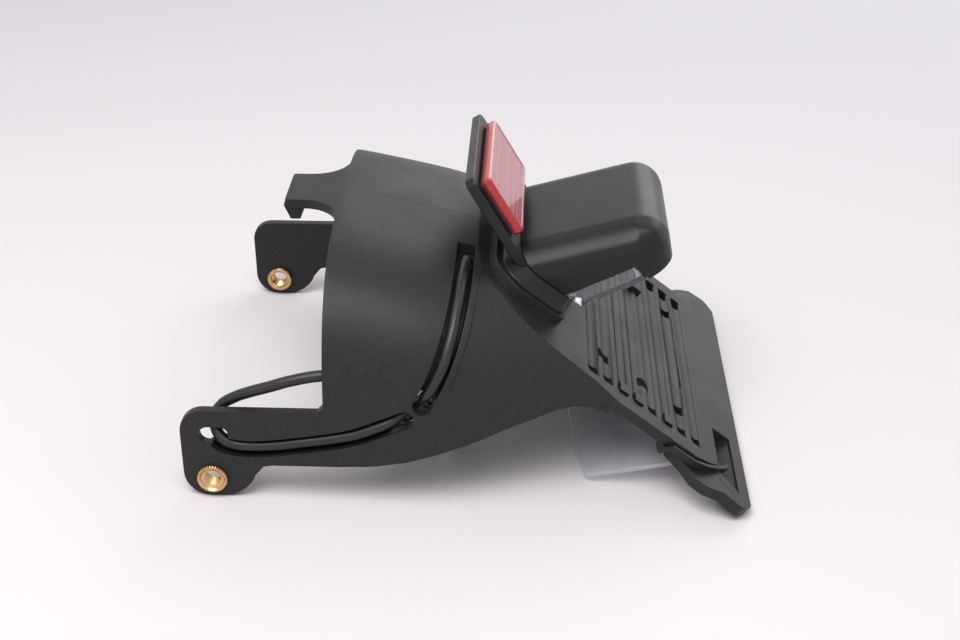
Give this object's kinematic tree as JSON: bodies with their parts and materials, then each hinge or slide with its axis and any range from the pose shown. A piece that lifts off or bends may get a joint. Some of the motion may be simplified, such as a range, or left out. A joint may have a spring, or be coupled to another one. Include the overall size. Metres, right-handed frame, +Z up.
{
  "type": "tail tidy",
  "caption": "Moulded arch for a motorcycle's rear fender end, with number-plate panel, plate lamp, red reflector, clear spray flap and clipped lamp lead.",
  "frame": {"origin": "middle of the base on which ears and wing tips stand", "axes": "+X to the rear of the motorcycle, +Y to its right, +Z up"},
  "size_m": [0.2264, 0.1796, 0.1198],
  "materials": {
    "carrier_plastic": "moulded, fine grain, satin",
    "insert_brass": "turned and knurled",
    "lamp_plastic": "moulded, satin",
    "gasket_rubber": "moulded",
    "clear_lens": "clear, ribbed",
    "board": "lacquered",
    "led": "clear cast",
    "screw_steel": "zinc plated",
    "bracket_plastic": "satin",
    "foam": "foam",
    "reflector_back": "moulded",
    "reflector_red": "clear red, prismatic back",
    "clear_sheet": "clear, slightly hazy",
    "lead_jacket": "smooth jacket",
    "connector_plastic": "moulded",
    "pin_brass": "drawn"
  },
  "bodies": {
    "root": {"carrier": "carrier_plastic", "left_insert": "insert_brass", "right_insert": "insert_brass", "lamp_base": "lamp_plastic", "lamp_gasket": "gasket_rubber", "lamp_hood": "lamp_plastic", "lamp_lens": "clear_lens", "led_board": "board", "leds": "led", "board_screws": "screw_steel", "lamp_screws": "screw_steel", "reflector_bracket": "bracket_plastic", "reflector_pad": "foam", "reflector_back": "reflector_back", "reflector_lens": "reflector_red", "spray_flap": "clear_sheet", "lead_grommet": "gasket_rubber", "lead": "lead_jacket", "lead_coil": "lead_jacket", "connector_housing": "connector_plastic", "connector_pins": "pin_brass"}
  },
  "joints": []
}
